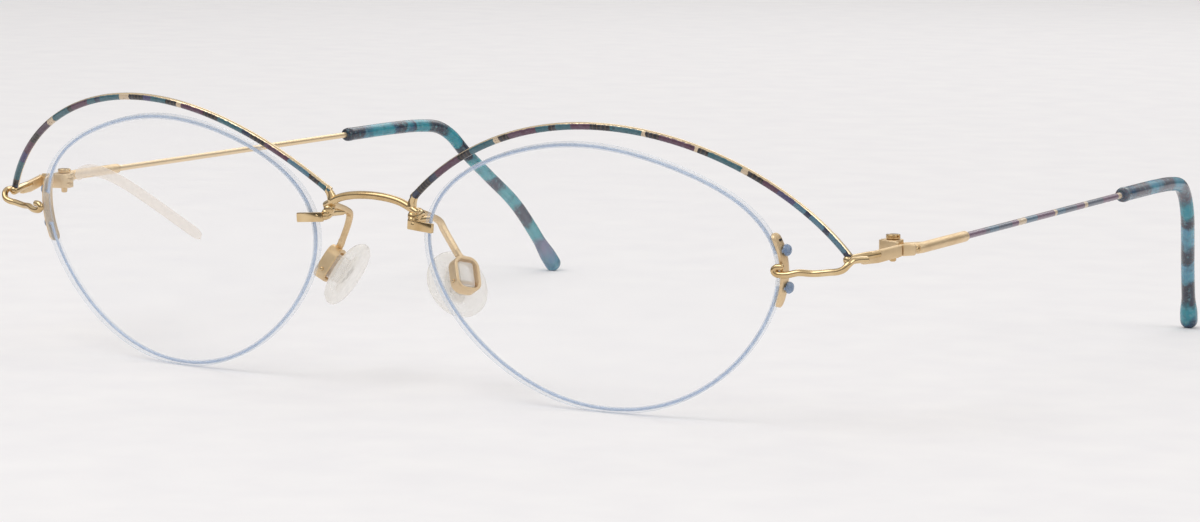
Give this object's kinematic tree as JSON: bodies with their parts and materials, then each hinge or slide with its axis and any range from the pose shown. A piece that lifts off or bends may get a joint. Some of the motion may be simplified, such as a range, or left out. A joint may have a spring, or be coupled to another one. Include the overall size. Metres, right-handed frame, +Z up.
{
  "type": "eyeglasses",
  "caption": "Semi-rimless eyeglasses: clear lenses held by thread under arched enamelled brow bars, gold wire bridge, nose pads, folding temples with teal tips.",
  "frame": {"origin": "centre of the footprint, at the level the lens bottoms and temple tips stand on", "axes": "+X towards the wearer's left, +Y back along the open temples, +Z up; the lenses face -Y"},
  "size_m": [0.1506, 0.1352, 0.0391],
  "materials": {
    "gold_polished": "gold plate, polished",
    "gold_satin": "gold plate, satin",
    "brow_enamel": "satin enamel in teal, purple and black bands over gold wire",
    "temple_enamel": "satin enamel in grey-blue and purple bands on the outer side, gold inside",
    "lens_clear": "clear demonstration lens, polished",
    "nylon": "translucent pale blue thread",
    "knob_plastic": "translucent blue-grey",
    "silicone": "clear soft silicone",
    "insert_plastic": "milky white",
    "tip_plastic": "translucent turquoise with dark bands"
  },
  "bodies": {
    "front": {"bridge": "gold_polished", "brow_bar_left": "brow_enamel", "brow_bar_right": "brow_enamel", "nasal_clip_left": "gold_polished", "nasal_clip_right": "gold_polished", "pad_arm_left": "gold_satin", "pad_arm_right": "gold_satin", "pad_box_left": "gold_polished", "pad_box_right": "gold_polished", "pad_pin_left": "gold_polished", "pad_pin_right": "gold_polished", "lens_left": "lens_clear", "lens_right": "lens_clear", "nylon_thread_left": "nylon", "nylon_thread_right": "nylon", "lens_bracket_left": "gold_satin", "lens_bracket_right": "gold_satin", "thread_knob_upper_left": "knob_plastic", "thread_knob_upper_right": "knob_plastic", "thread_knob_lower_left": "knob_plastic", "thread_knob_lower_right": "knob_plastic", "endpiece_wire_left": "gold_polished", "endpiece_wire_right": "gold_polished", "hinge_plate_left": "gold_satin", "hinge_plate_right": "gold_satin", "hinge_screw_left": "gold_polished", "hinge_screw_right": "gold_polished"},
    "temple_left": {"temple_hinge_left": "gold_satin", "temple_sleeve_left": "gold_satin", "temple_wire_left": "temple_enamel", "temple_tip_left": "tip_plastic"},
    "pad_left": {"nose_pad_left": "silicone", "pad_insert_left": "insert_plastic"},
    "temple_right": {"temple_hinge_right": "gold_satin", "temple_sleeve_right": "gold_satin", "temple_wire_right": "temple_enamel", "temple_tip_right": "tip_plastic"},
    "pad_right": {"nose_pad_right": "silicone", "pad_insert_right": "insert_plastic"}
  },
  "joints": [
    {"name": "temple_left_fold", "type": "hinge", "parent": "front", "child": "temple_left", "pos_m": [0.07125, -0.04568, 0.02327], "axis": [0, 0, 1], "range_deg": [0, 88]},
    {"name": "temple_right_fold", "type": "hinge", "parent": "front", "child": "temple_right", "pos_m": [-0.07125, -0.04568, 0.02327], "axis": [0, 0, -1], "range_deg": [0, 84]},
    {"name": "pad_left_rock", "type": "hinge", "parent": "front", "child": "pad_left", "pos_m": [0.01202, -0.05831, 0.01533], "axis": [0.3735, 0.9064, -0.1975], "range_deg": [-7, 7]},
    {"name": "pad_right_rock", "type": "hinge", "parent": "front", "child": "pad_right", "pos_m": [-0.01202, -0.05831, 0.01533], "axis": [-0.3735, 0.9064, -0.1975], "range_deg": [-7, 7]}
  ]
}
